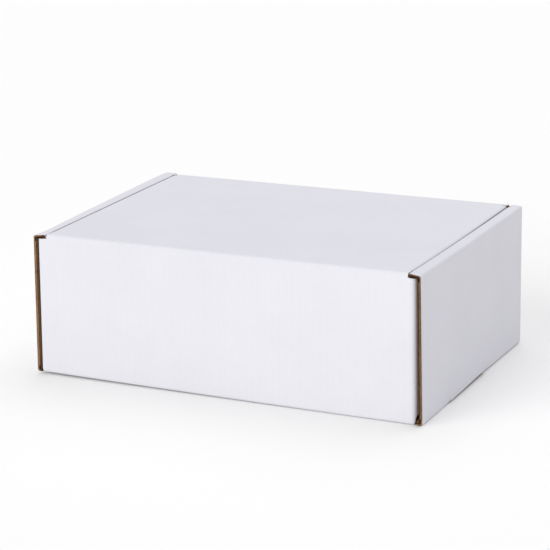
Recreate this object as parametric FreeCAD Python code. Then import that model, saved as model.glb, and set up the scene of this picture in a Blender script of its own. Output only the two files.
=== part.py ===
import FreeCAD, Part
import math
import os

# Corrugated mailer box with roll-over sides and a hinged lid with a tuck flap.
# It is folded from one die-cut sheet. The sheet is kept as two solids that meet
# at the lid's hinge crease: the tray and the lid.
# Millimetres. +X along the width, +Z up, the hinge wall faces -Y, the tuck
# front faces +Y. Origin: centre of the footprint, on the surface it stands on.

# ---- board ----
BOARD = 1.6            # thin-flute corrugated board
PLY_GAP = 0.5          # air between neighbouring layers of the rolled sides
R_FOLD = 1.5           # outside radius of a scored fold
R_CORNER = 1.65        # outside radius of the upright corner folds
R_TOP = 1.4            # outside radius of the folds round the lid
R_STRIP = 1.0          # outside radius of the roll-over strip's outer fold
R_STRIP_IN = 0.8       # and of its inner fold
R_INNER = 0.2          # inside radius of a scored fold

# ---- overall size ----
WIDTH = 188.0
DEPTH = 130.2
HEIGHT = 66.7
HALF_W = WIDTH / 2
HALF_D = DEPTH / 2

# ---- rolled side: outer wall, folded-in ear, inner wall ----
STRIP = 3 * BOARD + 2 * PLY_GAP            # width of the roll-over strip
X_OUT_IN = HALF_W - BOARD                  # inner face of the outer side wall
X_EAR_OUT = X_OUT_IN - PLY_GAP             # outer face of the folded-in ear
X_EAR_IN = X_EAR_OUT - BOARD
X_INNER = HALF_W - STRIP                   # interior face of the inner side wall
X_INNER_BACK = X_INNER + BOARD

# ---- walls ----
X_BASE_CREASE = 90.2   # the base's long creases end here
X_FOOT = 91.0          # the long walls' foot folds run out to here
X_HINGE = 87.65        # the hinge crease ends here
CORNER_TOP = HEIGHT - BOARD - 0.3          # long walls pass under the strips here
FRONT_TOP = HEIGHT - 1.0                   # raw top edge of the front wall
Y_IN = HALF_D - BOARD                      # inner face of the long walls
EAR_LEN = 41.6         # folded-in ears of the long walls, along Y
LIFT = 0.15            # free edges stand this far off the base

# ---- locking tab and slot, one on each side ----
SLOT_Y0 = -31.0
SLOT_Y1 = 14.0
TAB_PLAY = 0.6
SLOT_EDGE = 0.45       # raw lower edge of the outer wall over the slot

# ---- lid ----
LID_X = 87.85          # outer face of the lid's side flaps
LID_RAW_X = 87.7       # lid panel where its side is a cut edge
LID_Y = Y_IN - 0.3     # outer face of the tuck fold
MITRE_GAP = 0.12
TUCK_LEN = 24.0
TUCK_LEAN = math.radians(6.2)
TUCK_X = 85.5
FLAP_DEPTH = 26.0      # side flaps of the lid
FLAP_Y0 = -60.0
FLAP_Y1 = 60.4
LID_FRONT_RAW = 62.3   # cut front edge of the lid panel beside the tuck fold

V = FreeCAD.Vector


def to3(plane, u, v, w):
    if plane == "XZ":
        return V(u, w, v)
    if plane == "YZ":
        return V(w, u, v)
    return V(u, v, w)


def face(plane, pts, w):
    """Flat face from corners (u, v, fillet radius) in a plane at offset w."""
    n = len(pts)
    ends = []
    for i in range(n):
        px, py = pts[i - 1][0], pts[i - 1][1]
        cx, cy = pts[i][0], pts[i][1]
        r = pts[i][2] if len(pts[i]) > 2 else 0.0
        nx, ny = pts[(i + 1) % n][0], pts[(i + 1) % n][1]
        if r <= 0:
            ends.append(((cx, cy), None, (cx, cy)))
            continue
        ax, ay = px - cx, py - cy
        bx, by = nx - cx, ny - cy
        la, lb = math.hypot(ax, ay), math.hypot(bx, by)
        ax, ay, bx, by = ax / la, ay / la, bx / lb, by / lb
        phi = math.acos(max(-1.0, min(1.0, ax * bx + ay * by)))
        d = r / math.tan(phi / 2)
        mx, my = ax + bx, ay + by
        lm = math.hypot(mx, my)
        mx, my = mx / lm, my / lm
        c = r / math.sin(phi / 2)
        mid = (cx + mx * (c - r), cy + my * (c - r))
        ends.append(((cx + ax * d, cy + ay * d), mid, (cx + bx * d, cy + by * d)))
    edges = []
    for i in range(n):
        a, m, b = ends[i]
        if m is not None:
            edges.append(Part.Arc(to3(plane, a[0], a[1], w), to3(plane, m[0], m[1], w), to3(plane, b[0], b[1], w)).toShape())
        nxt = ends[(i + 1) % n][0]
        if math.hypot(nxt[0] - b[0], nxt[1] - b[1]) > 1e-6:
            edges.append(Part.makeLine(to3(plane, b[0], b[1], w), to3(plane, nxt[0], nxt[1], w)))
    return Part.Face(Part.Wire(edges))


def prism(plane, pts, w0, w1):
    f = face(plane, pts, w0)
    d = to3(plane, 0, 0, w1 - w0)
    return f.extrude(d)


def block(x0, x1, y0, y1, z0, z1):
    return Part.makeBox(x1 - x0, y1 - y0, z1 - z0, V(x0, y0, z0))


def mirrored_x(shape):
    return shape.mirror(V(0, 0, 0), V(1, 0, 0))


def join(shapes):
    s = shapes[0].fuse(shapes[1:])
    s = s.removeSplitter()
    return s


# ================= tray =================

# rolled side, as a section across X and Z: base edge, bottom fold, outer wall,
# two top folds with the strip between them, inner wall
side_section = [
    (X_BASE_CREASE, 0.0),
    (HALF_W, 0.0, R_FOLD),
    (HALF_W, HEIGHT, R_STRIP),
    (X_INNER, HEIGHT, R_STRIP_IN),
    (X_INNER, BOARD + LIFT),
    (X_INNER_BACK, BOARD + LIFT),
    (X_INNER_BACK, HEIGHT - BOARD, R_INNER),
    (X_OUT_IN, HEIGHT - BOARD, R_INNER),
    (X_OUT_IN, BOARD, R_INNER),
    (X_BASE_CREASE, BOARD),
]
side = prism("XZ", side_section, -HALF_D, HALF_D)
# the inner wall is cut shorter than the strip, so that it fits between the long walls
for s in (-1, 1):
    ya, yb = sorted((s * (Y_IN - 0.25), s * (HALF_D + 1)))
    side = side.cut(block(X_INNER - 1, X_INNER_BACK + 0.001, ya, yb, BOARD + 0.05, HEIGHT - BOARD))
    # slit that parts the long wall's foot from the end of the side wall
    ya, yb = sorted((s * (HALF_D - 1.4), s * (HALF_D + 1)))
    side = side.cut(block(X_FOOT, X_OUT_IN - 0.1, ya, yb, -1, BOARD + 0.2))
# locking tab at the foot of the inner wall
tab_outline = [
    (SLOT_Y0 + TAB_PLAY, BOARD + 2.0),
    (SLOT_Y0 + TAB_PLAY, 1.2),
    (SLOT_Y0 + TAB_PLAY + 0.8, 0.2),
    (SLOT_Y1 - TAB_PLAY - 0.8, 0.2),
    (SLOT_Y1 - TAB_PLAY, 1.2),
    (SLOT_Y1 - TAB_PLAY, BOARD + 2.0),
]
tab = prism("YZ", tab_outline, X_INNER, X_INNER_BACK)


def ear(sign):
    """Ear folded in from a long wall, between the outer and the inner side wall."""
    y_root = sign * (HALF_D - 3.0)
    y_tip = sign * (HALF_D - EAR_LEN)
    return prism("YZ", [
        (y_root, BOARD + 0.5),
        (y_tip, 4.5, 6.0),
        (y_tip, CORNER_TOP - 2.6, 6.0),
        (y_root, CORNER_TOP - 0.2),
    ], X_EAR_IN, X_EAR_OUT)


def corner_band(sign):
    """Long wall with both upright corner folds and the roots of its ears."""
    yo, yi, yr = sign * HALF_D, sign * Y_IN, sign * (HALF_D - 3.5)
    u = prism("XY", [
        (X_EAR_IN, yr),
        (X_EAR_IN, yi, R_INNER * 0.75),
        (-X_EAR_IN, yi, R_INNER * 0.75),
        (-X_EAR_IN, yr),
        (-X_EAR_OUT, yr),
        (-X_EAR_OUT, yo, R_CORNER),
        (X_EAR_OUT, yo, R_CORNER),
        (X_EAR_OUT, yr),
    ], BOARD + LIFT, CORNER_TOP)
    # the lower corners are cut back at the ends of the base crease
    ya, yb = sorted((sign * (HALF_D + 1), sign * (HALF_D - 4)))
    notch = prism("XZ", [(X_FOOT - 0.33, 1.0), (X_EAR_OUT + 1, 1.0), (X_EAR_OUT + 1, 6.16)], ya, yb)
    u = u.cut(notch).cut(mirrored_x(notch))
    return u


def base_fold(sign, top, half):
    """Fold from the base up into a long wall."""
    yo, yi, yr = sign * HALF_D, sign * Y_IN, sign * (HALF_D - 6.0)
    return prism("YZ", [
        (yr, 0.0),
        (yo, 0.0, R_FOLD),
        (yo, top),
        (yi, top),
        (yi, BOARD, R_INNER),
        (yr, BOARD),
    ], -half, half)


# upper part of the hinge wall: its half of the hinge fold, mitred
hinge_top = prism("YZ", [
    (-HALF_D, CORNER_TOP - 4),
    (-HALF_D, HEIGHT, R_TOP),
    (-HALF_D + 6, HEIGHT),
    (-HALF_D + 6, HEIGHT - BOARD),
    (-Y_IN, HEIGHT - BOARD, R_INNER),
    (-Y_IN, CORNER_TOP - 4),
], -X_HINGE, X_HINGE)
lid_half = prism("YZ", [
    (-HALF_D - 6, HEIGHT + 6),
    (-HALF_D + 9, HEIGHT - 9),
    (-HALF_D + 30, HEIGHT - 9),
    (-HALF_D + 30, HEIGHT + 6),
], -HALF_W, HALF_W)
hinge_top = hinge_top.cut(lid_half)

front_top = block(-X_HINGE - 0.4, X_HINGE + 0.4, Y_IN, HALF_D, CORNER_TOP - 4, FRONT_TOP)

floor = block(-X_BASE_CREASE - 0.5, X_BASE_CREASE + 0.5, -HALF_D + 4, HALF_D - 4, 0, BOARD)

tray = join([
    floor,
    side, tab,
    mirrored_x(side), mirrored_x(tab),
    base_fold(-1, CORNER_TOP, X_BASE_CREASE), base_fold(1, CORNER_TOP, X_BASE_CREASE),
    base_fold(-1, 2.2, X_FOOT), base_fold(1, 2.2, X_FOOT),
    corner_band(-1), corner_band(1),
    hinge_top, front_top,
    ear(-1), ear(1), mirrored_x(ear(-1)), mirrored_x(ear(1)),
])

# slots through the base for the tabs; the outer wall's foot is a cut edge there
slot = block(X_INNER - 0.15, X_OUT_IN, SLOT_Y0, SLOT_Y1, -1, BOARD + 0.08)
slot = slot.cut(tab)
foot = block(X_OUT_IN - 0.01, HALF_W + 1, SLOT_Y0, SLOT_Y1, -1, SLOT_EDGE)
tray = tray.cut([slot, mirrored_x(slot), foot, mirrored_x(foot)])

# ================= lid =================

sa, ca = math.sin(TUCK_LEAN), math.cos(TUCK_LEAN)
tip_out = (LID_Y - TUCK_LEN * sa, HEIGHT - TUCK_LEN * ca)
tip_in = (tip_out[0] - BOARD * ca, tip_out[1] + BOARD * sa)
k = (BOARD + BOARD * sa) / ca
root_in = (LID_Y - BOARD * ca - k * sa, HEIGHT - BOARD)

# panel between the hinge crease and the tuck fold
panel = prism("YZ", [
    (-HALF_D, HEIGHT - 6),
    (-HALF_D, HEIGHT, R_TOP),
    (LID_FRONT_RAW, HEIGHT),
    (LID_FRONT_RAW, HEIGHT - BOARD),
    (-Y_IN, HEIGHT - BOARD, R_INNER),
    (-Y_IN, HEIGHT - 6),
], -X_HINGE, X_HINGE)
shift = MITRE_GAP * math.sqrt(2)
wall_half = prism("YZ", [
    (-HALF_D - 20 + shift, HEIGHT + 20),
    (-HALF_D + 20 + shift, HEIGHT - 20),
    (-HALF_D - 20 + shift, HEIGHT - 20),
], -HALF_W, HALF_W)
panel = panel.cut(wall_half)
wide = block(-LID_RAW_X, LID_RAW_X, -HALF_D + 1.2, LID_FRONT_RAW, HEIGHT - BOARD, HEIGHT)
wide = wide.cut(wall_half)

tuck = prism("YZ", [
    (LID_Y - 6, HEIGHT),
    (LID_Y, HEIGHT, R_TOP),
    tip_out,
    tip_in,
    (root_in[0], root_in[1], R_INNER),
    (LID_Y - 6, HEIGHT - BOARD),
], -TUCK_X, TUCK_X)
tuck = tuck.common(prism("XZ", [
    (-TUCK_X, HEIGHT + 1),
    (-TUCK_X, HEIGHT - 3),
    (-TUCK_X + 3.0, HEIGHT - TUCK_LEN - 1, 9.0),
    (TUCK_X - 3.0, HEIGHT - TUCK_LEN - 1, 9.0),
    (TUCK_X, HEIGHT - 3),
    (TUCK_X, HEIGHT + 1),
], LID_Y - 8, LID_Y + 1))

flap = prism("XZ", [
    (LID_X - 6, HEIGHT),
    (LID_X, HEIGHT, R_TOP),
    (LID_X, HEIGHT - FLAP_DEPTH),
    (LID_X - BOARD, HEIGHT - FLAP_DEPTH),
    (LID_X - BOARD, HEIGHT - BOARD, R_INNER),
    (LID_X - 6, HEIGHT - BOARD),
], FLAP_Y0, FLAP_Y1)
flap = flap.common(prism("YZ", [
    (FLAP_Y0, HEIGHT + 1),
    (FLAP_Y0, HEIGHT - 3),
    (FLAP_Y0 + 6, HEIGHT - FLAP_DEPTH, 7.0),
    (FLAP_Y1 - 8, HEIGHT - FLAP_DEPTH, 7.0),
    (FLAP_Y1, HEIGHT - 3),
    (FLAP_Y1, HEIGHT + 1),
], LID_X - 8, LID_X + 1))

# the wide panel is trimmed back where a side flap folds down from it
trim = block(LID_X - 3, LID_X + 1, FLAP_Y0, FLAP_Y1, HEIGHT - BOARD - 1, HEIGHT + 1)
wide = wide.cut(trim).cut(mirrored_x(trim))

lid = join([panel, wide, tuck, flap, mirrored_x(flap)])

# ================= write =================

os.makedirs("parts", exist_ok=True)
for name, shape in (("tray", tray), ("lid", lid)):
    solids = shape.Solids
    print(name, "solids", len(solids), "valid", shape.isValid(), "volume", round(shape.Volume, 1), "box", shape.BoundBox)
    out = solids[0] if len(solids) == 1 else shape
    out.exportStep("parts/" + name + ".step")
print("tray and lid overlap", round(tray.common(lid).Volume, 4), "gap", round(tray.distToShape(lid)[0], 4))
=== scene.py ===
import math
import random

import bmesh
import bpy
import numpy as np
from mathutils import Matrix, Vector, noise


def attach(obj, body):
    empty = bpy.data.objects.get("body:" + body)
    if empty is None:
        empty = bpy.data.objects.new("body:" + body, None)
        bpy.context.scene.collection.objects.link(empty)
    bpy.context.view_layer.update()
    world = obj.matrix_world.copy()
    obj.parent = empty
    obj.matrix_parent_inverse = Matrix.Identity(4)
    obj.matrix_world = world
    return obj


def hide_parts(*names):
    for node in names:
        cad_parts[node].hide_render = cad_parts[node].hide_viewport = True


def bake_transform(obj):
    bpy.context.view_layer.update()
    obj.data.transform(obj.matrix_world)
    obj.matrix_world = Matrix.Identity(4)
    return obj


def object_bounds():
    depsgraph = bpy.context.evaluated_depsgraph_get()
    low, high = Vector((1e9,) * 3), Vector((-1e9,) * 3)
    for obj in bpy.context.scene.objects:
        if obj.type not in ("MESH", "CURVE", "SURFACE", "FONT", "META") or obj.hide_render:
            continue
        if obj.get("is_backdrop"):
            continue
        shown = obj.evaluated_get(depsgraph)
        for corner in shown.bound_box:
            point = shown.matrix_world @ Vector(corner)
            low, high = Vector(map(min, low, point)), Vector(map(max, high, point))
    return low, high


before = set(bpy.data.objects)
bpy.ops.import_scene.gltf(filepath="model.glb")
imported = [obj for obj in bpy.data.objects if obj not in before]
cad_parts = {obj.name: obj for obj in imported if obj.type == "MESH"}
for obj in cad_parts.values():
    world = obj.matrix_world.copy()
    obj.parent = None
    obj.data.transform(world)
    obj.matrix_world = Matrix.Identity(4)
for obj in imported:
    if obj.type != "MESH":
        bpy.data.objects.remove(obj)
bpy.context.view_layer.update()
random.seed(7)

# ------------------------------------------------------------------
# Sizes in millimetres, the same as the construction model's
# ------------------------------------------------------------------
T = 1.6
HW, HD, H = 94.0, 65.1, 66.0
GROW = 0.7             # the walls are this much taller than drawn, see warp()
R_FOLD, R_CORNER, R_TOP, R_IN = 1.5, 2.2, 1.4, 0.2
R_STRIP, R_STRIP_IN = 1.0, 0.8   # folds along the outer and inner side of the roll-over strips
X_OUT_IN = 92.4
X_EAR_O, X_EAR_I = 91.9, 90.3
X_IN, X_INB = 88.2, 89.8
X_BASE = X_EAR_O - R_CORNER
X_HINGE, X_FRONT = 87.65, 88.05
X_SLOT = 88.05
C_TOP = 64.1
F_TOP = 65.0
Y_IN = 63.5
EAR_TIP = 23.5
SLOT0, SLOT1 = -31.0, 14.0
TAB0, TAB1 = -30.4, 13.4
LID_X, LID_RAW = 87.85, 87.7
LID_Y = 63.2
LEAN = math.radians(6.2)
TUCK_LEN, TUCK_X = 24.0, 85.5
FLAP = 26.0
FLAP0, FLAP1 = -60.0, 60.4
LID_FRONT = 62.3
LID_SHIFT = 0.28
PITCH = 3.25
LINER = 0.155          # share of the board's thickness taken by each liner
MEDIUM = 0.115         # share taken by the fluted middle paper

WHITE, KRAFT, EDGE, CAVITY_SHADE, WHITE_EDGE, GAP_SHADE_KRAFT, SHADED, DARK_EDGE = 0, 1, 2, 3, 4, 5, 6, 7


def nz(x, y=0.0, z=0.0):
    return noise.noise(Vector((x, y, z)))


# ------------------------------------------------------------------
# Mesh building: a folded sheet is a set of strips. A strip is a path of
# (outer, inner) points that is extruded across a width.
# ------------------------------------------------------------------
class Sheet:
    def __init__(self, name):
        self.name = name
        self.v, self.c = [], []
        self.f, self.m = [], []

    def add(self, pts, coords):
        n = len(self.v)
        self.v.extend(pts)
        self.c.extend(coords)
        return n

    def quad(self, ids, mat, want=None):
        p = [self.v[i] for i in ids]
        if want is not None:
            a = np.subtract(p[2], p[0])
            b = np.subtract(p[3], p[1])
            if float(np.dot(np.cross(a, b), want)) < 0:
                ids = ids[::-1]
        self.f.append(ids)
        self.m.append(mat)

    def cap(self, O, I, inward, across, kind, crush=None):
        """A cut edge of the board between the outer and the inner polyline."""
        O, I = np.asarray(O, float), np.asarray(I, float)
        inward = np.asarray(inward, float)
        if inward.ndim == 1:
            inward = np.tile(inward, (len(O), 1))
        across = np.asarray(across, float)
        mid = (O + I) / 2
        run = np.concatenate([[0], np.cumsum(np.linalg.norm(np.diff(mid, axis=0), axis=1))])
        crush = np.ones(len(O)) if crush is None else np.asarray(crush, float)
        step = PITCH / 14 if kind in ("flute", "shear") else 0.9
        samples = [run[0]]
        for k in range(1, len(run)):
            n = max(1, int(math.ceil((run[k] - run[k - 1]) / step)))
            samples.extend(run[k - 1] + (run[k] - run[k - 1]) * (i + 1) / n for i in range(n))
        samples = np.array(samples)

        def at(arr):
            if arr.ndim == 1:
                return np.interp(samples, run, arr)
            return np.stack([np.interp(samples, run, arr[:, q]) for q in range(arr.shape[1])], 1)

        O, I, D, A, C = at(O), at(I), at(inward), at(across), at(crush)
        n = len(samples)
        th = I - O
        deep = 2.6 if kind == "flute" else 0.55
        rows = []
        seed = abs(hash_point(O[0])) % 97
        for i in range(n):
            a = LINER + 0.012 * nz(A[i] * 0.9, seed, 1.0)
            if kind == "flute":
                amp = (0.5 - LINER - MEDIUM / 2)
                ph = 2 * math.pi * A[i] / PITCH
                wob = 0.9 + 0.12 * nz(A[i] * 0.21, seed, 4.0)
                c = 0.5 + amp * math.cos(ph + 0.35 * nz(A[i] * 0.35, seed, 2.0)) * min(1.0, wob)
                c = 0.5 + (c - 0.5) * C[i]
                half = MEDIUM / 2 * (1 + 0.25 * nz(A[i] * 1.1, seed, 3.0))
                m0, m1 = max(a, c - half), min(1 - a, c + half)
            elif kind == "shear":
                wv = math.cos(2 * math.pi * A[i] / PITCH + 0.8 * nz(A[i] * 0.3, seed, 2.0))
                a = 0.10 + 0.02 * nz(A[i] * 0.9, seed, 1.0)
                m0 = a + 0.05 + 0.035 * wv + 0.03 * nz(A[i] * 0.7, seed, 3.5)
                m1 = (0.82 if C[i] > 0.9 else 0.50) + 0.05 * wv * C[i] + 0.05 * nz(A[i] * 0.5, seed, 3.0)
            else:
                c = 0.5 + 0.28 * nz(A[i] * 0.05 + samples[i] * 0.06, seed, 5.0)
                m0, m1 = a + 0.001, 1 - a - 0.001
            w1 = 0.06 * nz(samples[i] * 1.3, seed, 6.0)
            w2 = 0.10 * nz(samples[i] * 1.7, seed, 7.0)
            w3 = 0.06 * nz(samples[i] * 1.3, seed, 8.0)
            p = lambda q, d: tuple(O[i] + th[i] * q + D[i] * d)
            if kind == "flute":
                pts = [p(0, 0), p(a, 0.02 + w1), p(m0, 0.05 + w2), p(m1, 0.05 + w2), p(1 - a, 0.02 + w3), p(1, 0),
                       p(a, deep), p(m0, deep), p(m1, deep), p(1 - a, deep)]
            elif kind == "shear":
                # the blade has rounded the inner ply over: outer ply and flutes show, the inner third falls back and
                # takes the flute insides' painted shade
                pts = [p(0, 0), p(a, 0.02 + w1), p(m0, 0.04 + w2), p(m1, 0.10 + w2), p(0.88, 0.55 + w3), p(1, 0),
                       p(a, 0.30), p(m0, 0.30), p(m1, 2.2), p(0.88, 2.2)]
            else:
                floor = deep * (0.75 + 0.35 * nz(samples[i] * 0.8, seed, 9.0))
                pts = [p(0, 0), p(a, 0.02 + w1), p(1 - a, 0.02 + w3), p(1, 0),
                       p(a + 0.02, floor), p(c, floor * 0.35), p(1 - a - 0.02, floor)]
            base = self.add(pts, [(A[i], samples[i], 0.0)] * len(pts))
            rows.append(base)
        # pocket faces between the plies are coloured with the flute insides' painted shade
        for i in range(n - 1):
            x, y = rows[i], rows[i + 1]
            out = -D[i]
            t = th[i]
            if kind in ("flute", "shear"):
                # where the strip turns down into the gap beside the lid, its cut end is coloured darker as painted
                # shade
                turns_into_gap = kind == "shear" and C[i] < 0.34
                self.quad((x, x + 1, y + 1, y), DARK_EDGE if turns_into_gap else WHITE_EDGE, out)
                self.quad((x + 2, x + 3, y + 3, y + 2), CAVITY_SHADE if turns_into_gap else EDGE, out)
                self.quad((x + 4, x + 5, y + 5, y + 4), EDGE if kind == "flute" else CAVITY_SHADE, out)
                self.quad((x + 1, x + 6, y + 6, y + 1), CAVITY_SHADE, t)
                self.quad((x + 2, x + 7, y + 7, y + 2), CAVITY_SHADE, -t)
                self.quad((x + 6, x + 7, y + 7, y + 6), CAVITY_SHADE, out)
                self.quad((x + 3, x + 8, y + 8, y + 3), CAVITY_SHADE, t)
                self.quad((x + 4, x + 9, y + 9, y + 4), CAVITY_SHADE, -t)
                self.quad((x + 8, x + 9, y + 9, y + 8), CAVITY_SHADE, out)
            else:
                # dark caps are coloured all over with the flute insides' painted shade
                raw_ = CAVITY_SHADE if kind == "dark" else EDGE
                self.quad((x, x + 1, y + 1, y), raw_ if kind == "dark" else WHITE_EDGE, out)
                self.quad((x + 2, x + 3, y + 3, y + 2), raw_, out)
                self.quad((x + 1, x + 4, y + 4, y + 1), CAVITY_SHADE, t)
                self.quad((x + 4, x + 5, y + 5, y + 4), raw_, out)
                self.quad((x + 5, x + 6, y + 6, y + 5), raw_, out)
                self.quad((x + 2, x + 6, y + 6, y + 2), CAVITY_SHADE, -t)

    def strip(self, path, to3, ws, flutes="w", w0=None, w1=None, caps=("", "", "", ""), s0=0.0, skip=None, crush_edges=True, gap_shade_from=None, crush=0.11, shade=None):
        """path: [(outer uv, inner uv, flute height 0..1)]; ws: widths of the first row; flutes run along "w" or along
        the path "s".
        caps: at the first width, at the last width, at the path's start, at its end; each "", "cut" or, for the first
        two, "shear" or "dark".
        shade tells which steps of the path take the grey painted shade of the narrow gap beside a fold."""
        ws = np.asarray(ws, float)
        tau = (ws - ws[0]) / (ws[-1] - ws[0])
        n, m = len(path), len(ws)
        w0 = [ws[0]] * n if w0 is None else w0
        w1 = [ws[-1]] * n if w1 is None else w1
        Ouv = np.array([p[0] for p in path], float)
        Iuv = np.array([p[1] for p in path], float)
        fl = np.array([p[2] if len(p) > 2 else 1.0 for p in path], float)
        seg = np.linalg.norm(np.diff((Ouv + Iuv) / 2, axis=0), axis=1)
        s = s0 + np.concatenate([[0], np.cumsum(seg)])
        W = np.array([[w0[i] + tau[j] * (w1[i] - w0[i]) for j in range(m)] for i in range(n)])
        O = np.array([[to3(Ouv[i][0], Ouv[i][1], W[i, j]) for j in range(m)] for i in range(n)], float)
        I = np.array([[to3(Iuv[i][0], Iuv[i][1], W[i, j]) for j in range(m)] for i in range(n)], float)
        if crush_edges:
            d = I - O
            d /= np.linalg.norm(d, axis=2)[:, :, None]
            amt = np.zeros((n, m))
            if caps[0]:
                amt = np.maximum(amt, np.clip(1 - (W - W[:, :1]) / 0.9, 0, 1) ** 2)
            if caps[1]:
                amt = np.maximum(amt, np.clip(1 - (W[:, -1:] - W) / 0.9, 0, 1) ** 2)
            S = np.tile(s[:, None], (1, m))
            if caps[2]:
                amt = np.maximum(amt, np.clip(1 - (S - s[0]) / 0.9, 0, 1) ** 2)
            if caps[3]:
                amt = np.maximum(amt, np.clip(1 - (s[-1] - S) / 0.9, 0, 1) ** 2)
            O = O + d * (crush * amt)[:, :, None]
            I = I - d * (crush * amt)[:, :, None]
        def co(i, j, side):
            return (s[i], W[i, j], side) if flutes == "w" else (W[i, j], s[i], side)
        io = self.add([tuple(O[i, j]) for i in range(n) for j in range(m)], [co(i, j, 1.0) for i in range(n) for j in range(m)])
        ii = self.add([tuple(I[i, j]) for i in range(n) for j in range(m)], [co(i, j, -1.0) for i in range(n) for j in range(m)])
        for i in range(n - 1):
            for j in range(m - 1):
                if skip is not None and skip((Ouv[i] + Ouv[i + 1]) / 2, (W[i, j] + W[i, j + 1]) / 2):
                    continue
                k = (i * m + j, (i + 1) * m + j, (i + 1) * m + j + 1, i * m + j + 1)
                out = O[i, j] - I[i, j]
                self.quad(tuple(io + q for q in k), SHADED if shade and shade(i) else WHITE, out)
                # inner kraft faces near the walls' ends, seen in the gap beside the ears, take a darker kraft as
                # painted shade
                self.quad(tuple(ii + q for q in k), GAP_SHADE_KRAFT if gap_shade_from and abs(W[i, j] + W[i, j + 1]) / 2 > gap_shade_from else KRAFT, -out)
        kw = "flute" if flutes == "w" else "plain"
        ks = "flute" if flutes == "s" else "plain"
        wdir = np.array(to3(Ouv[0][0], Ouv[0][1], 1.0)) - np.array(to3(Ouv[0][0], Ouv[0][1], 0.0))
        if caps[0]:
            self.cap(O[:, 0], I[:, 0], wdir, s if flutes == "w" else W[:, 0], kw if caps[0] == "cut" else caps[0], fl)
        if caps[1]:
            self.cap(O[:, -1], I[:, -1], -wdir, s if flutes == "w" else W[:, -1], kw if caps[1] == "cut" else caps[1], fl)
        for which, a, b in ((2, 0, 1), (3, n - 1, n - 2)):
            if caps[which]:
                d = (O[b] + I[b]) / 2 - (O[a] + I[a]) / 2
                d /= np.linalg.norm(d, axis=1)[:, None]
                self.cap(O[a], I[a], d, W[a] if flutes == "s" else np.full(m, s[a]), ks, None)
        return s


def hash_point(p):
    return int(abs(p[0]) * 13.7 + abs(p[1]) * 7.3 + abs(p[2]) * 3.1)


def arc(oc, R, ic, r, a0, a1, n=9, fl=0.35):
    out = []
    for k in range(n + 1):
        a = math.radians(a0 + (a1 - a0) * k / n)
        c, s = math.cos(a), math.sin(a)
        out.append(((oc[0] + R * c, oc[1] + R * s), (ic[0] + r * c, ic[1] + r * s), fl))
    return out


def grid(a, b, step, extra=(), ends=(0.3, 0.9)):
    """Sample values from a to b, about step apart, with more near both ends and at given places."""
    vals = {round(a, 4), round(b, 4)}
    for e in ends:
        vals.add(round(a + e, 4))
        vals.add(round(b - e, 4))
    n = max(1, int(round((b - a) / step)))
    for k in range(1, n):
        vals.add(round(a + (b - a) * k / n, 4))
    for e in extra:
        if a < e < b:
            vals.add(round(e, 4))
    vals = sorted(vals)
    keep = [vals[0]]
    must = {round(e, 4) for e in extra} | {round(a, 4), round(b, 4)} | {round(a + e, 4) for e in ends} | {round(b - e, 4) for e in ends}
    for x in vals[1:]:
        if x - keep[-1] < 0.12 and x not in must:
            continue
        keep.append(x)
    return keep


ZW = [1.9, 2.4, 3.2, 6, 10, 14, 18, 22, 26, 30, 34, 38, 42, 46, 50, 54, 58, 61, 62.9]


def XZ(sign):
    return lambda a, b, w: (sign * a, w, b)


def YZ(sign):
    return lambda a, b, w: (w, sign * a, b)


def XY(sx, sy):
    return lambda a, b, w: (sx * a, sy * b, w)


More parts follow.
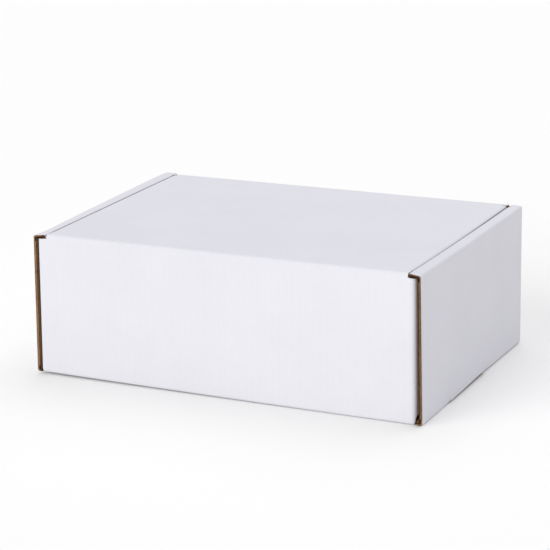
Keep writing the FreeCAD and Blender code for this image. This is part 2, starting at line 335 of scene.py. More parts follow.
# ------------------------------------------------------------------
# Tray
# ------------------------------------------------------------------
tray = Sheet("tray_sheet")
YS = grid(-HD, HD, 5.0, (-63.2, -63.25, 63.2, 63.25, SLOT0, SLOT1, TAB0, TAB1))
YS_IN = [y for y in YS if -63.25 <= y <= 63.25]
for sx in (1, -1):
    to = XZ(sx)
    lower = [((X_BASE, 0), (X_BASE, T), 1.0), ((91.2, 0), (91.2, T), 0.9), ((92.1, 0), (91.9, T), 0.5)]
    lower += arc((92.5, 1.5), R_FOLD, (92.2, 1.8), R_IN, -90, 0)
    lower += [((HW, 1.9), (X_OUT_IN, 1.9), 0.5)]
    y_a = [y for y in YS if y <= SLOT0]
    y_b = [y for y in YS if y >= SLOT1]
    y_m = [y for y in YS if SLOT0 <= y <= SLOT1]
    y_a = sorted(set(y_a + [SLOT0 - 0.3, SLOT0 - 0.9]))
    y_b = sorted(set(y_b + [SLOT1 + 0.3, SLOT1 + 0.9]))
    near = 3                                  # rows of the flat part, which ends at the long walls' folds
    tray.strip(lower[:near], to, [y for y in y_a if y >= -63.2], caps=("cut", "cut", "", ""), crush_edges=False)
    tray.strip(lower[:near], to, [y for y in y_b if y <= 63.2], caps=("cut", "cut", "", ""), crush_edges=False)
    tray.strip(lower[near - 1:], to, y_a, caps=("shear", "cut", "", ""), s0=1.9, gap_shade_from=63.3)
    tray.strip(lower[near - 1:], to, y_b, caps=("cut", "shear", "", ""), s0=1.9, gap_shade_from=63.3)
    for ya, yb in ((-HD, -63.2), (63.2, HD)):
        ys = [y for y in YS if ya <= y <= yb]
        tray.cap([to(*lower[near - 1][0], y) for y in ys], [to(*lower[near - 1][1], y) for y in ys], (sx, 0, 0), [1.9] * len(ys), "plain")
    s_low = 2.3 + 1.6 + 0.4
    tray.strip([((HW, z), (X_OUT_IN, z), 0.8) for z in (0.45, 0.75, 1.35, 1.9)], to, y_m, caps=("", "", "cut", ""))
    wall = [((HW, z), (X_OUT_IN, z), 1.0 if 3 < z < 63 else 0.6) for z in ZW]
    wall += [((HW, 63.7), (X_OUT_IN, 63.6), 0.5)]
    wall += arc((HW - R_STRIP, H - R_STRIP), R_STRIP, (92.2, 64.2), R_IN, 0, 90)
    wall += [((92.0, H), (91.9, 64.4), 0.75), ((91.0, H), (91.0, 64.4), 0.75), ((90.0, H), (90.4, 64.4), 0.30)]
    wall += arc((X_IN + R_STRIP_IN, H - R_STRIP_IN), R_STRIP_IN, (X_INB + R_IN, 64.2), R_IN, 90, 180, fl=0.30)
    wall += [((X_IN, 64.8), (X_INB, 64.18), 0.30), ((X_IN, 64.4), (X_INB, 64.15), 0.30)]
    turn_row = len(wall) - 12                 # the strip's inner fold starts here
    # two steps of the strip's inner fold take grey painted shade, the shadow of the gap beside the lid
    s = tray.strip(wall, to, YS, caps=("shear", "shear", "", ""), s0=s_low, gap_shade_from=63.3, shade=lambda i: turn_row + 5 <= i <= turn_row + 6)
    # the strip's hook at both ends stands past the inner wall
    for ya, yb in ((-HD, -63.25), (63.25, HD)):
        ys = [y for y in YS if ya <= y <= yb]
        O = [to(X_IN, 64.4, y) for y in ys]
        I = [to(X_INB, 64.15, y) for y in ys]
        tray.cap(O, I, (0, 0, 1), [s[-1]] * len(ys), "plain")
    inner = [((X_IN, 64.4), (X_INB, 64.15), 0.4), ((X_IN, 63.9), (X_INB, 63.7), 0.5)]
    inner += [((X_IN, z), (X_INB, z), 1.0) for z in reversed(ZW) if z > 2.5] + [((X_IN, z), (X_INB, z), 1.0) for z in (2.6, 2.05, 1.75)]
    s2 = tray.strip(inner, to, YS_IN, caps=("cut", "cut", "", ""), s0=s[-1])
    for ya, yb in ((-63.25, TAB0), (TAB1, 63.25)):
        ys = [y for y in YS_IN if ya <= y <= yb]
        tray.cap([to(X_IN, 1.75, y) for y in ys], [to(X_INB, 1.75, y) for y in ys], (0, 0, 1), [s2[-1]] * len(ys), "plain")
    zt = [1.75, 1.3, 1.0, 0.7, 0.45, 0.2]
    tp = [0, 0, 0.15, 0.4, 0.75, 1.2]
    tray.strip([((X_IN, z), (X_INB, z), 1.0) for z in zt], to, [y for y in YS_IN if TAB0 <= y <= TAB1],
               w0=[TAB0 + t for t in tp], w1=[TAB1 - t for t in tp], caps=("cut", "cut", "", "cut"), s0=s2[-1])

# base panel, with the slots left open
XB = grid(-X_BASE, X_BASE, 6.0, (-X_SLOT, X_SLOT, -X_HINGE, X_HINGE), ends=())
YB = [y for y in YS if -63.2 <= y <= 63.2]
slot_hole = lambda uv, w: abs(w) > X_SLOT and SLOT0 < uv[0] < SLOT1
tray.strip([((y, 0), (y, T), 1.0) for y in YB], YZ(1), XB, flutes="s", skip=slot_hole, crush_edges=False)
for sx in (1, -1):
    ys = [y for y in YB if SLOT0 <= y <= SLOT1]
    tray.cap([(sx * X_SLOT, y, 0) for y in ys], [(sx * X_SLOT, y, T) for y in ys], (-sx, 0, 0), [X_SLOT] * len(ys), "plain")
    for y, d in ((SLOT0, -1), (SLOT1, 1)):
        tray.cap([(sx * x, y, 0) for x in (X_SLOT, X_BASE)], [(sx * x, y, T) for x in (X_SLOT, X_BASE)], (0, d, 0), [X_SLOT, X_BASE], "flute")

for sy, x_mid, top in ((-1, X_HINGE, None), (1, X_FRONT, F_TOP)):
    to = YZ(sy)
    # fold from the base into the wall
    fold = [((63.2, 0), (63.0, T), 0.7)]
    fold += arc((63.6, 1.5), R_FOLD, (63.3, 1.8), R_IN, -90, 0)
    fold += [((HD, 1.9), (Y_IN, 1.9), 0.5)]
    fold[0] = ((63.2, 0), (63.2, T), 0.7)
    fold[1] = ((63.6, 0), (63.3, T), 0.4)
    tray.strip(fold, to, XB, flutes="s", crush_edges=False)
    # its rounded ends, which run out in front of the side walls' feet
    turn_in = lambda x: R_CORNER - math.sqrt(R_CORNER ** 2 - max(0.0, x - (X_EAR_O - R_CORNER)) ** 2)
    arc_x = [X_EAR_O - R_CORNER + R_CORNER * math.cos(math.radians(q)) for q in (81, 72, 63, 54, 45, 36)]
    ends = [90.9 + (arc_x[-1] - 90.9) * min(1.0, p[0][1] / 1.9) for p in fold]
    for sx in (1, -1):
        tray.strip(fold, lambda a, b, w, sx=sx: (sx * w, sy * (a - turn_in(w)), b), [X_BASE] + arc_x, flutes="s",
                   w0=[X_BASE] * len(fold), w1=ends, caps=("", "cut", "", ""), crush_edges=False)
    XC = [x for x in XB if -x_mid <= x <= x_mid]
    if top is None:
        up = [((HD, z), (Y_IN, z), 1.0) for z in ZW]
        up += [((HD, 63.5), (Y_IN, 62.95), 0.6), ((HD, 64.2), (Y_IN, 62.98), 0.4), ((HD, 64.6), (Y_IN, 63.0), 0.4)]
        tray.strip(up, to, XC, flutes="s", crush_edges=False)
        for x, d in ((-x_mid, 1), (x_mid, -1)):
            tray.cap([to(HD, z, x) for z in (62.9, 63.5, 64.2, 64.6)], [to(Y_IN, z, x) for z in (62.9, 62.95, 62.98, 63.0)], (d, 0, 0), [x] * 4, "plain")
    else:
        XT = sorted(set(XC + [-x_mid + 0.3, x_mid - 0.3, -x_mid + 0.9, x_mid - 0.9]))
        up = [((HD, z), (Y_IN, z), 1.0) for z in ZW if z < 60] + [((HD, z), (Y_IN, z), 1.0) for z in (61, 62.9, 64.1, 64.7, top)]
        tray.strip(up, to, XC, flutes="s", caps=("", "", "", "cut"))
        for x, d in ((-x_mid, 1), (x_mid, -1)):
            zz = (64.1, 64.7, top)
            tray.cap([to(HD, z, x) for z in zz], [to(Y_IN, z, x) for z in zz], (d, 0, 0), [x] * 3, "plain")
    # corner folds and ears
    for sx in (1, -1):
        tc = XY(sx, sy)
        band = [((x, HD), (x, Y_IN), 1.0) for x in sorted({x_mid, X_SLOT, X_BASE}) if x >= x_mid]
        nb = len(band)
        band += arc((X_EAR_O - R_CORNER, HD - R_CORNER), R_CORNER, (X_EAR_I - 0.15, 63.35), 0.15, 90, 0, n=10)[1:]
        na = len(band)
        ys = [62.9, 62.2, 60, 56, 52, 48, 44, 40, 36, 32, 29.5, 28, 27, 26, 25.2, 24.5, 24.0, 23.7, EAR_TIP]
        band += [((X_EAR_O, y), (X_EAR_I, y), 1.0) for y in ys]
        lo, hi = [], []
        for i, (o, _, _) in enumerate(band):
            if i < nb:
                lo.append(1.9)
                hi.append(C_TOP)
            elif i < na:
                k = max(0.0, (o[0] - arc_x[-1]) / (X_EAR_O - arc_x[-1]))
                lo.append(1.9 + 1.9 * k)
                hi.append(C_TOP)
            else:
                y = o[1]
                k = (62.9 - y) / (62.9 - EAR_TIP)
                e = y - EAR_TIP
                r = 6 - math.sqrt(max(0.0, 36 - max(0.0, 6 - e) ** 2))
                lo.append(3.8 + 0.7 * k + r)
                hi.append(C_TOP - 0.2 - 2.4 * k - r)
        zs = [1.9, 2.2, 2.8, 6, 10, 14, 18, 22, 26, 30, 34, 38, 42, 46, 50, 54, 58, 61, 62.9, 63.2, 63.8, C_TOP]
        cut = nb + 5                          # up to here the band stands on the base fold
        tray.strip(band[:cut + 1], tc, zs, w0=lo[:cut + 1], w1=hi[:cut + 1], caps=("", "cut", "", ""), s0=x_mid)
        tray.strip(band[cut:], tc, zs, w0=lo[cut:], w1=hi[cut:], caps=("cut", "cut", "", "cut"), s0=x_mid + 3.2)

# on the right side beside the hinge wall the cut edges are coloured darker, and the kraft in the gap there takes the
# darker painted shade of the flute insides
for k, ids in enumerate(tray.f):
    fx, fy, fz = np.mean([tray.v[i] for i in ids], axis=0)
    if fx > 87.0 and fy < -63.2 and fz > 2.4:
        tray.m[k] = {EDGE: DARK_EDGE, WHITE_EDGE: DARK_EDGE, GAP_SHADE_KRAFT: CAVITY_SHADE}.get(tray.m[k], tray.m[k])

# ------------------------------------------------------------------
# Lid
# ------------------------------------------------------------------
lid = Sheet("lid_sheet")
sa, ca = math.sin(LEAN), math.cos(LEAN)
kk = (T + T * sa) / ca
# centres of the tuck fold's arcs: tangent to the panel's top and to the leaning flap
turn = 90 + math.degrees(LEAN)          # the fold turns by this much
end_ang = 90 - turn                      # direction of the flap's outward normal
na_ = math.radians(end_ang)
n_out = (math.cos(na_), math.sin(na_))
# outer arc centre (cy, H - R): distance from the flap's outer line equals R
cz = H - R_TOP
cy = LID_Y - (R_TOP - (cz - H) * n_out[1]) / n_out[0]
inner_r = 0.25
root = (LID_Y - T * ca - kk * sa, H - T)
icz = H - T - inner_r
# inner corner's small arc
off = (root[0] - T * 0)
icy = root[0] - (inner_r * (1 - n_out[1])) / n_out[0]
XL = grid(-TUCK_X, TUCK_X, 6.0, (-82, 82))
YL = [-62.1, -61.5, -60.9, -60.0, -59.7, -59.1] + [y for y in grid(-56, 55, 5.0, ends=())] + [57.5, 59.5, 60.1, FLAP1, 61.0]
main = [((-63.7, H), (-62.1, H - T), 0.4), ((-63.2, H), (-61.8, H - T), 0.6), ((-62.1, H), (-61.2, H - T), 0.8)]
main += [((y, H), (y, H - T), 1.0) for y in YL if y >= -60.5]
main += arc((cy, cz), R_TOP, (icy, icz), inner_r, 90, end_ang, n=10)
ca_end = main[-1][0]
remain = TUCK_LEN - math.hypot(ca_end[0] - LID_Y, ca_end[1] - H)
down = [0.4, 1.5, 4, 8, 11.5, 13.3, 15, 16.6, 18, 19.2, 20.2, 21.0, 21.6, 22.0]
down = [d for d in down if d < remain - 0.15] + [remain]
for d in down:
    o = (ca_end[0] - sa * d, ca_end[1] - ca * d)
    main.append((o, (o[0] - T * ca, o[1] + T * sa), 1.0))
w1 = []
for o, _, _ in main:
    depth = H - o[1]
    if o[0] < 57 or depth < 3:
        w1.append(TUCK_X)
        continue
    k = min(1.0, (depth - 3) / 22.0)
    tip = H - main[-1][0][1] - depth
    r = 9 - math.sqrt(max(0.0, 81 - max(0.0, 9 - tip) ** 2)) if tip < 9 else 0.0
    w1.append(TUCK_X - 3.0 * k - r)
s_lid = lid.strip(main, YZ(1), XL, flutes="s", w0=[-w for w in w1], w1=w1, caps=("", "", "", "cut"), crush_edges=False)
first = next(i for i, p in enumerate(main) if p[0][0] > 61.0 and p[0][1] <= H)
tuck_part = [i for i, p in enumerate(main) if p[0][0] >= 61.0 or p[0][1] < H - 0.01]
for sgn in (-1, 1):
    lid.cap([(sgn * w1[i], main[i][0][0], main[i][0][1]) for i in tuck_part], [(sgn * w1[i], main[i][1][0], main[i][1][1]) for i in tuck_part], (-sgn, 0, 0), [w1[i] for i in tuck_part], "plain")
for sx in (1, -1):
    to = XZ(sx)
    y_flap = [y for y in YL if FLAP0 <= y <= FLAP1]
    p = [((TUCK_X, H), (TUCK_X, H - T), 1.0), ((LID_X - 2.0, H), (LID_X - 2.1, H - T), 0.8)]
    p += arc((LID_X - R_TOP, 64.6), R_TOP, (LID_X - T - R_IN, 64.2), R_IN, 90, 0)
    p += [((LID_X, z), (LID_X - T, z), 1.0) for z in (64.2, 63.2, 60, 56, 52, 48, 46.5, 45, 43.8, 42.7, 41.8, 41.1, 40.6, 40.2, 40.0)]
    lo, hi = [], []
    for o, _, _ in p:
        z = o[1]
        k = max(0.0, min(1.0, (63 - z) / 23.0))
        e = z - 40.0
        r = 7 - math.sqrt(max(0.0, 49 - max(0.0, 7 - e) ** 2)) if z < 47 else 0.0
        lo.append(FLAP0 + 6 * k + r)
        hi.append(FLAP1 - 8 * k - r)
    # two steps of the flap's fold take grey painted shade, the shadow of the gap beside the strip
    lid.strip(p, to, y_flap, w0=lo, w1=hi, caps=("cut", "cut", "", "cut"), s0=TUCK_X, shade=lambda i: 7 <= i <= 8)
    # cut side edge of the panel behind and before the flap
    rear = [y for y in YL if y <= FLAP0]
    rp = [((-63.7, H), (-62.1, H - T), 0.5), ((-63.2, H), (-61.8, H - T), 0.6), ((-62.1, H), (-61.2, H - T), 0.8), ((FLAP0, H), (FLAP0, H - T), 1.0)]
    lid.strip(rp, lambda a, b, w, sx=sx: (sx * w, a, b), [TUCK_X, 86.3, 87.0, 87.35, X_HINGE], flutes="s", w1=[X_HINGE, X_HINGE + 0.1, LID_RAW, LID_RAW], caps=("", "cut", "", ""), crush=0.22)
    lid.cap([(sx * x, FLAP0, H) for x in (86.45, 87.1, LID_RAW)], [(sx * x, FLAP0, H - T) for x in (86.45, 87.1, LID_RAW)], (0, -1, 0), [86.45, 87.1, LID_RAW], "flute")
    fp = [((y, H), (y, H - T), 1.0) for y in (FLAP1, 60.8, 61.2, 61.7, 62.0, LID_FRONT)]
    lid.strip(fp, lambda a, b, w, sx=sx: (sx * w, a, b), [TUCK_X, 86.3, 87.0, 87.4, LID_RAW], flutes="s", w1=[LID_RAW] * 4 + [LID_RAW - 0.15, LID_RAW - 0.6], caps=("", "cut", "", "cut"))
    lid.cap([(sx * x, FLAP1, H) for x in (86.45, 87.1, LID_RAW)], [(sx * x, FLAP1, H - T) for x in (86.45, 87.1, LID_RAW)], (0, 1, 0), [86.45, 87.1, LID_RAW], "flute")

# ------------------------------------------------------------------
# Hinge crease: the rounded fold between the tray's hinge wall and the lid
# ------------------------------------------------------------------
crease = Sheet("hinge_crease")
cp = arc((-63.7, 64.6), R_TOP, (-63.3, 64.2), 0.2, 180, 90, n=12, fl=0.4)
# the inner skin runs from the wall to the lid through the inner corner
inner_pts = []
for k in range(13):
    q = k / 12
    if q < 0.42:
        u = q / 0.42
        inner_pts.append((-Y_IN, 63.0 + u * 1.2))
    elif q > 0.58:
        u = (q - 0.58) / 0.42
        inner_pts.append((-63.3 + u * 1.2, H - T))
    else:
        a = math.radians(180 - (q - 0.42) / 0.16 * 90)
        inner_pts.append((-63.3 + 0.2 * math.cos(a), 64.2 + 0.2 * math.sin(a)))
cp = [(cp[k][0], inner_pts[k], 0.4) for k in range(13)]
XH = [x for x in XB if -X_HINGE <= x <= X_HINGE]
XH = sorted(set(XH + [-X_HINGE + 0.3, X_HINGE - 0.3]))
crease.strip(cp, YZ(1), XH, flutes="s", caps=("dark", "dark", "", ""), crush_edges=False)


# ------------------------------------------------------------------
# Small unevenness of folded board, then the Blender objects
# ------------------------------------------------------------------
def warp(P, part):
    """Shape of a real folded box: walls 0.7 mm taller than drawn, and small leans and bends of under a millimetre."""
    Q = P.copy()
    x, y, z = P[:, 0], P[:, 1], P[:, 2]
    u, v, w = x / HW, y / HD, np.clip(z / H, 0, 1)
    au = np.abs(u)
    near, left, right_ = (1 - v) / 2, (1 - u) / 2, (1 + u) / 2
    Q[:, 2] += GROW * np.clip((z - 6) / 50, 0, 1)
    # the long walls draw in a little at mid-height, the sides as well
    belly = np.sin(np.pi * w)
    Q[:, 1] += 0.22 * belly * np.cos(np.pi * u / 2) * -np.sign(v) * np.abs(v) ** 4
    Q[:, 0] += 0.16 * belly * np.cos(np.pi * v / 2) * -np.sign(u) * au ** 8
    # the rolled sides lean in towards the top, and their strips fall away towards the outside
    lean = np.where(u > 0, 0.62 - 0.3 * (1 - near), 0.34)
    Q[:, 0] -= np.sign(u) * au ** 6 * lean * w
    wavy = np.interp(y, [-65, -55, -40, -20, 0, 20, 45, 57, 65], [0.75, 1.15, 0.95, 0.55, 0.30, 0.02, -0.28, -0.38, -0.10])
    fall = np.where(u > 0, 0.28 + 0.47 * near, wavy)
    top = np.clip((z - 45) / 18, 0, 1)
    Q[:, 2] -= fall * np.clip((np.abs(x) - X_IN) / (HW - X_IN), 0, 1) * top * top * (3 - 2 * top)
    # corners that do not sit square
    Q[:, 2] += 0.45 * w ** 2 * right_ ** 3.5 * (1 - near) ** 2
    Q[:, 2] -= 0.30 * w ** 2 * left ** 3 * near ** 2
    Q[:, 2] += 0.60 * w ** 4 * right_ ** 4 * near ** 3
    Q[:, 2] += 1.05 * (1 - w) ** 6 * left ** 2 * near ** 3
    if part == "tray":
        # near the hinge wall the sides' feet stand out a little, and both corner folds sit a little to the left
        ax = np.abs(x)
        wall_ = np.clip((ax - 91.95) / 0.2, 0, 1)
        fold_ = (ax < 91.97) & (z < 64.12)
        ear_ = np.where(fold_ & (ax >= 90.0) & (z > 1.85), np.clip((-y - 30) / 30, 0, 1), 0.0)
        ear_ = np.maximum(ear_, np.where(fold_, np.clip((ax - 87.7) / 2.2, 0, 1) * np.clip((-y - 63.28) / 0.2, 0, 1), 0.0))
        Q[:, 0] += np.where(x > 0, 0.62 * (1 - w) * near * wall_ - 0.45 * ear_,
                            -(0.15 + 0.2 * (1 - w)) * near * np.maximum(wall_, ear_) - 0.26 * ear_)
    # the lid sags by a hair in the middle
    Q[:, 2] -= 0.18 * w ** 6 * np.cos(np.pi * u / 2) ** 2 * np.cos(np.pi * v / 2) ** 2
    if part == "lid":
        # the tuck flap's spring lifts the lid's free edge
        Q[:, 2] += (0.55 - 0.50 * left ** 3) * np.clip((y + 20) / 83, 0, 1) ** 2
    # the lid and its crease sit a little to the right, and the left strip is that much wider
    if part == "tray":
        # the right side's lower edge stands off the floor at the slot
        off = np.interp(y, [-45, -31, -17, 10, 14, 22, 38, 57, 65], [0, 0.15, 0.42, 0.95, 0.90, 0.45, 0.30, 0.18, 0])
        Q[:, 2] += off * np.clip((6 - z) / 5.5, 0, 1) * np.clip((x - 91.5) / 1.0, 0, 1)
        shift = LID_SHIFT * np.clip((z - 62.9) / 1.3, 0, 1) * ((y < -63.3) & (np.abs(x) < X_IN - 0.1))
        inner = np.clip((z - 61) / 3, 0, 1) * (np.abs(x) >= X_IN - 0.1) * np.clip((91.5 - np.abs(x)) / 2.5, 0, 1)
        shift = shift + inner * np.where(x < 0, 0.5, 0.28 * (1 - near))
    else:
        shift = LID_SHIFT
    Q[:, 0] += shift
    return Q


def build(sheet, mats, weld=0.0035):
    P = warp(np.array(sheet.v, float), sheet.name.split("_")[0]) * 0.001
    me = bpy.data.meshes.new(sheet.name)
    me.from_pydata([tuple(p) for p in P], [], [tuple(f) for f in sheet.f])
    at = me.attributes.new("sheet", "FLOAT_VECTOR", "POINT")
    at.data.foreach_set("vector", (np.array(sheet.c, np.float32)).ravel())
    me.polygons.foreach_set("material_index", np.array(sheet.m, np.int32))
    for m in mats:
        me.materials.append(m)
    bm = bmesh.new()
    bm.from_mesh(me)
    bmesh.ops.remove_doubles(bm, verts=bm.verts, dist=weld * 0.001)
    bmesh.ops.dissolve_degenerate(bm, dist=1e-7, edges=bm.edges)
    bmesh.ops.delete(bm, geom=[v for v in bm.verts if not v.link_faces], context="VERTS")
    bm.to_mesh(me)
    bm.free()
    me.shade_smooth()
    me.set_sharp_from_angle(angle=math.radians(32))
    ob = bpy.data.objects.new(sheet.name, me)
    bpy.context.scene.collection.objects.link(ob)
    return ob


# ------------------------------------------------------------------
# Materials
# ------------------------------------------------------------------
class Nodes:
    def __init__(self, name):
        self.mat = bpy.data.materials.new(name)
        self.mat.use_nodes = True
        self.nt = self.mat.node_tree
        self.nt.nodes.clear()
        self.out = self.nt.nodes.new("ShaderNodeOutputMaterial")
        self.bsdf = self.nt.nodes.new("ShaderNodeBsdfPrincipled")
        self.nt.links.new(self.bsdf.outputs["BSDF"], self.out.inputs["Surface"])

    def node(self, kind, **kw):
        n = self.nt.nodes.new(kind)
        for k, v in kw.items():
            if hasattr(n, k):
                setattr(n, k, v)
        return n

    def link(self, a, b):
        self.nt.links.new(a, b)

    def value(self, v, sock):
        if isinstance(v, (int, float)):
            sock.default_value = v
        else:
            self.link(v, sock)

    def math(self, op, a, b=None, c=None):
        n = self.node("ShaderNodeMath", operation=op)
        self.value(a, n.inputs[0])
        if b is not None:
            self.value(b, n.inputs[1])
        if c is not None:
            self.value(c, n.inputs[2])
        return n.outputs[0]

    def noise(self, vec, scale, detail=3.0, rough=0.55, dist=0.0):
        n = self.node("ShaderNodeTexNoise")
        n.inputs["Scale"].default_value = scale
        n.inputs["Detail"].default_value = detail
        n.inputs["Roughness"].default_value = rough
        n.inputs["Distortion"].default_value = dist
        self.link(vec, n.inputs["Vector"])
        return n.outputs["Fac"]

    def ramp(self, fac, stops):
        n = self.node("ShaderNodeValToRGB")
        el = n.color_ramp.elements
        el[0].position, el[0].color = stops[0][0], (*stops[0][1], 1)
        el[1].position, el[1].color = stops[-1][0], (*stops[-1][1], 1)
        for p, c in stops[1:-1]:
            e = el.new(p)
            e.color = (*c, 1)
        self.link(fac, n.inputs["Fac"])
        return n.outputs["Color"]

    def mix(self, fac, a, b, mode="MIX"):
        n = self.node("ShaderNodeMix", data_type="RGBA", blend_type=mode)
        n.clamp_factor = True
        self.value(fac, n.inputs[0])
        for v, s in ((a, n.inputs[6]), (b, n.inputs[7])):
            if isinstance(v, tuple):
                s.default_value = (*v, 1)
            else:
                self.link(v, s)
        return n.outputs[2]


def paper(name, dark, light, fleck, fleck_amt, wash, fibre, rough, spec):
    """Liner paper over flutes: cloudy tone, fine fibres, and the faint washboard of the flutes under it."""
    n = Nodes(name)
    co = n.node("ShaderNodeTexCoord").outputs["Object"]
    at = n.node("ShaderNodeAttribute", attribute_name="sheet", attribute_type="GEOMETRY")
    sep = n.node("ShaderNodeSeparateXYZ")
    n.link(at.outputs["Vector"], sep.inputs[0])
    across, along = sep.outputs[0], sep.outputs[1]
    # slow cloudiness of the pulp
    cloud = n.noise(co, 38.0, 4.0, 0.6)
    fine = n.noise(co, 900.0, 3.0, 0.6)
    tone = n.math("MULTIPLY_ADD", fine, 0.35, n.math("MULTIPLY", cloud, 0.65))
    col = n.ramp(tone, [(0.30, dark), (0.70, light)])
    # fibres: noise drawn out along the paper's grain, which runs across the flutes
    comb = n.node("ShaderNodeCombineXYZ")
    n.link(n.math("MULTIPLY", across, 0.9), comb.inputs[0])
    n.link(n.math("MULTIPLY", along, 5.5), comb.inputs[1])
    n.link(sep.outputs[2], comb.inputs[2])
    fib = n.noise(comb.outputs[0], 1.6, 5.0, 0.7, 0.6)
    fl = n.math("GREATER_THAN", fib, 0.0)
    fmask = n.node("ShaderNodeMapRange")
    fmask.inputs["From Min"].default_value = 0.58
    fmask.inputs["From Max"].default_value = 0.76
    n.link(fib, fmask.inputs["Value"])
    col = n.mix(n.math("MULTIPLY", fmask.outputs[0], fleck_amt), col, fleck)
    # washboard
    wave = n.math("COSINE", n.math("MULTIPLY", across, 2 * math.pi / PITCH))
    wob = n.noise(co, 60.0, 2.0, 0.5)
    wave = n.math("MULTIPLY", wave, n.math("MULTIPLY_ADD", wob, 1.1, 0.35))
    shade = n.math("MULTIPLY_ADD", wave, wash, 1.0)
    vm = n.node("ShaderNodeVectorMath", operation="SCALE")
    n.link(col, vm.inputs[0])
    n.link(shade, vm.inputs["Scale"])
    n.link(vm.outputs[0], n.bsdf.inputs["Base Color"])
    # relief
    h = n.math("MULTIPLY_ADD", wave, 0.5, n.math("MULTIPLY", fib, fibre))
    h = n.math("MULTIPLY_ADD", fine, fibre * 0.8, h)
    h = n.math("MULTIPLY_ADD", cloud, 0.6, h)
    b = n.node("ShaderNodeBump")
    b.inputs["Strength"].default_value = 0.3
    b.inputs["Distance"].default_value = 0.00002
    n.link(h, b.inputs["Height"])
    n.link(b.outputs[0], n.bsdf.inputs["Normal"])
    r = n.math("MULTIPLY_ADD", fine, 0.10, rough)
    n.link(r, n.bsdf.inputs["Roughness"])
    n.bsdf.inputs["Specular IOR Level"].default_value = spec
    return n.mat


def raw(name, dark, light, rough=0.9):
    """Cut paper: short torn fibres in uneven brown."""
    n = Nodes(name)
    co = n.node("ShaderNodeTexCoord").outputs["Object"]
    a = n.noise(co, 700.0, 4.0, 0.65)
    b_ = n.noise(co, 2600.0, 2.0, 0.6)
    c = n.noise(co, 120.0, 2.0, 0.5)
    tone = n.math("MULTIPLY_ADD", b_, 0.35, n.math("MULTIPLY_ADD", a, 0.4, n.math("MULTIPLY", c, 0.25)))
    col = n.ramp(tone, [(0.34, dark), (0.64, light)])
    n.link(col, n.bsdf.inputs["Base Color"])
    b = n.node("ShaderNodeBump")
    b.inputs["Strength"].default_value = 0.6
    b.inputs["Distance"].default_value = 0.00006
    n.link(tone, b.inputs["Height"])
    n.link(b.outputs[0], n.bsdf.inputs["Normal"])
    n.bsdf.inputs["Roughness"].default_value = rough
    n.bsdf.inputs["Specular IOR Level"].default_value = 0.15
    return n.mat


white = paper("white_liner", (0.700, 0.698, 0.750), (0.735, 0.733, 0.785), (0.60, 0.60, 0.65), 0.10, 0.004, 0.35, 0.62, 0.30)
kraft = paper("kraft_liner", (0.36, 0.225, 0.125), (0.46, 0.300, 0.175), (0.24, 0.140, 0.075), 0.45, 0.035, 0.6, 0.74, 0.22)
edge = raw("cut_edge", (0.145, 0.079, 0.039), (0.320, 0.184, 0.092))
# flute insides: the medium's kraft darkened as painted shade of the recesses, also used in gaps
cavity_shade = raw("flute_inside", (0.074, 0.033, 0.014), (0.134, 0.064, 0.027))
top_edge = raw("white_liner_edge", (0.20, 0.148, 0.108), (0.34, 0.268, 0.206))
# darker kraft: painted shade for the walls' inner faces in the gap beside the ears
gap_shade_kraft = raw("kraft_rubbed", (0.145, 0.076, 0.033), (0.232, 0.130, 0.062))
# grey painted shade for the hairline in the gaps beside the lid's and the strips' folds
shaded = raw("liner_scuffed", (0.26, 0.25, 0.275), (0.34, 0.33, 0.36))
# darker cut edge: painted shade where the strips turn into the gap, and the darker right side beside the hinge wall
dark_edge = raw("cut_edge_worn", (0.094, 0.053, 0.027), (0.212, 0.126, 0.068))
mats = [white, kraft, edge, cavity_shade, top_edge, gap_shade_kraft, shaded, dark_edge]

tray_ob = build(tray, mats)
lid_ob = build(lid, mats)
crease_ob = build(crease, mats)
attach(tray_ob, "tray")
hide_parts("tray")
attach(lid_ob, "lid")
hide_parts("lid")
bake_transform(crease_ob)

# ------------------------------------------------------------------
# Floor, light and camera
# ------------------------------------------------------------------
me = bpy.data.meshes.new("floor")
s = 12.0
me.from_pydata([(-s, -s, 0), (s, -s, 0), (s, s, 0), (-s, s, 0)], [], [(0, 1, 2, 3)])
floor = bpy.data.objects.new("floor", me)
bpy.context.scene.collection.objects.link(floor)
floor.location.z = -0.00002
fm = Nodes("floor_white")
fm.bsdf.inputs["Base Color"].default_value = (0.953, 0.951, 0.944, 1)
fm.bsdf.inputs["Roughness"].default_value = 1.0
fm.bsdf.inputs["Specular IOR Level"].default_value = 0.0
me.materials.append(fm.mat)
floor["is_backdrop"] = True

world = bpy.data.worlds.new("soft_room")
bpy.context.scene.world = world
world.use_nodes = True
bg = world.node_tree.nodes["Background"]
bg.inputs["Color"].default_value = (1.0, 1.0, 1.0, 1)
bg.inputs["Strength"].default_value = 0.566

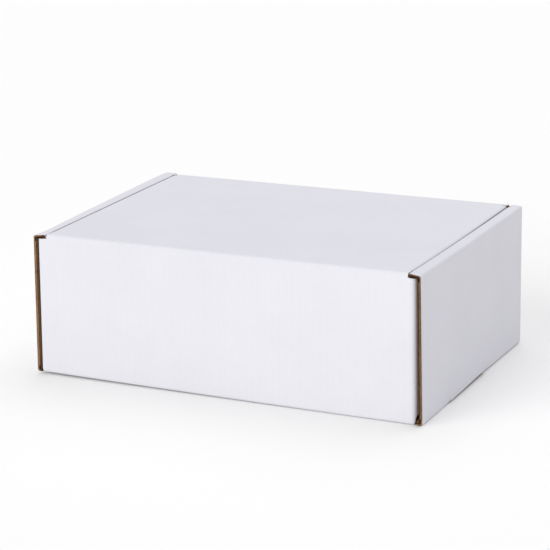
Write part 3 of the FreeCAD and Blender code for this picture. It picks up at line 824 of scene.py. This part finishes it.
# a low broad window in front, a high one behind and a weak one at the right;
# azimuth counts from the hinge wall's side, towards the left
for name, az, el, energy, tint in (("key", 30, 15, 1.93, (1.0, 1.0, 0.975)),
                                   ("behind", 180, 60, 0.807, (0.99, 0.98, 1.025)),
                                   ("side", -100, 60, 0.29, (0.99, 0.98, 1.025))):
    sun = bpy.data.lights.new(name, "SUN")
    sun.energy = energy
    sun.color = tint
    sun.angle = math.radians(60)
    sun_ob = bpy.data.objects.new(name, sun)
    bpy.context.scene.collection.objects.link(sun_ob)
    az, el = math.radians(az), math.radians(el)
    toward = Vector((-math.sin(az) * math.cos(el), -math.cos(az) * math.cos(el), math.sin(el)))
    sun_ob.rotation_euler = toward.to_track_quat("Z", "Y").to_euler()

scene = bpy.context.scene
scene.view_settings.view_transform = "Standard"
scene.view_settings.look = "None"
scene.view_settings.exposure = 0.0
scene.view_settings.gamma = 1.0

# camera solved from the box's corners: focal length in pixels of a 550 px frame
F_PX, AZ, EL, DIST, TX, TY, ROLL = 2285.843, 24.8665, 15.6698, 5.6817, 0.0216, -0.2055, -0.6256
a, e, ro = math.radians(AZ), math.radians(EL), math.radians(ROLL)
fwd = Vector((-math.sin(a) * math.cos(e), math.cos(a) * math.cos(e), -math.sin(e)))
right = Vector((math.cos(a), math.sin(a), 0))
up = right.cross(fwd)
r2 = right * math.cos(ro) + up * math.sin(ro)
u2 = -right * math.sin(ro) + up * math.cos(ro)
W_M = 0.188
pos = (-TX * r2 - TY * u2 - DIST * fwd) * W_M
cam_data = bpy.data.cameras.new("camera")
cam = bpy.data.objects.new("camera", cam_data)
scene.collection.objects.link(cam)
cam_data.sensor_width = 36.0
cam_data.lens = F_PX / 550.0 * 36.0
cam_data.clip_start, cam_data.clip_end = 0.05, 60.0
m = Matrix((r2, u2, -fwd)).transposed().to_4x4()
m.translation = pos
cam.matrix_world = m
scene.camera = cam

lo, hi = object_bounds()
for o in (tray_ob, lid_ob, crease_ob):
    print("PIECE", o.name, len(o.data.vertices), "verts", sum(len(p.vertices) - 2 for p in o.data.polygons), "tris")
